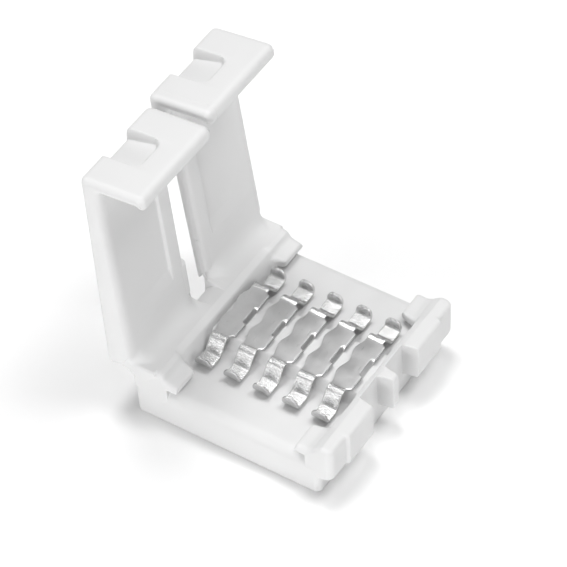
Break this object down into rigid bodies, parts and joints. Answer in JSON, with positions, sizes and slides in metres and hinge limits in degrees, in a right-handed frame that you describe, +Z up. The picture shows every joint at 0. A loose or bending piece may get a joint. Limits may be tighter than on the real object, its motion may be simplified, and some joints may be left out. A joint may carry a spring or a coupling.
{
  "type": "led strip connector",
  "caption": "White hinged-lid splice joint for flexible light strip: a channelled base, a row of sprung metal contacts and a snap lid over each strip end.",
  "frame": {"origin": "centre of the rectangle of the base's flat bottom face, without the latch overhang", "axes": "+Z up out of the flat bottom, +Y along the strip, +X from the hinge side to the latch side"},
  "size_m": [0.0212, 0.0186, 0.0243],
  "materials": {
    "white_moulding": "satin",
    "front_lid_white": "satin",
    "rear_lid_white": "satin",
    "tinned_contact": "bright tin plate"
  },
  "bodies": {
    "base": {"base_housing": "white_moulding", "contact_1": "tinned_contact", "contact_2": "tinned_contact", "contact_3": "tinned_contact", "contact_4": "tinned_contact", "contact_5": "tinned_contact"},
    "front_lid": {"front_lid": "front_lid_white"},
    "rear_lid": {"rear_lid": "rear_lid_white"}
  },
  "joints": [
    {"name": "front_lid_hinge", "type": "hinge", "parent": "base", "child": "front_lid", "pos_m": [-0.0079, 0, 0.0053], "axis": [0, 1, 0], "range_deg": [-40, 95]},
    {"name": "rear_lid_hinge", "type": "hinge", "parent": "base", "child": "rear_lid", "pos_m": [-0.0079, 0, 0.0053], "axis": [0, 1, 0], "range_deg": [-38, 97]}
  ]
}
